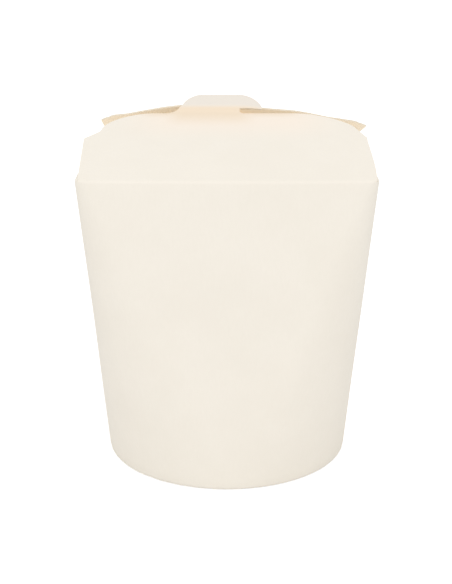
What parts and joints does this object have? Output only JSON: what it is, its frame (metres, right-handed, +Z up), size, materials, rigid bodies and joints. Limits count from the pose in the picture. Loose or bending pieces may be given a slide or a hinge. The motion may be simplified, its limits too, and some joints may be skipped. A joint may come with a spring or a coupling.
{
  "type": "noodle takeaway box",
  "caption": "Shut plain paper noodle box, with a round foot widening to a rectangular top closed by sloping flaps and a hooked tongue.",
  "frame": {"origin": "on the floor at the middle of the round foot", "axes": "+Z up, -Y towards the front panel whose flap carries the tongue, +X to the right seen from the front"},
  "size_m": [0.0992, 0.0872, 0.1274],
  "materials": {
    "coated_board": "smooth coated paperboard, satin",
    "base_board": "plain paperboard, matt"
  },
  "bodies": {
    "root": {"carton": "coated_board", "base_disc": "base_board"}
  },
  "joints": []
}
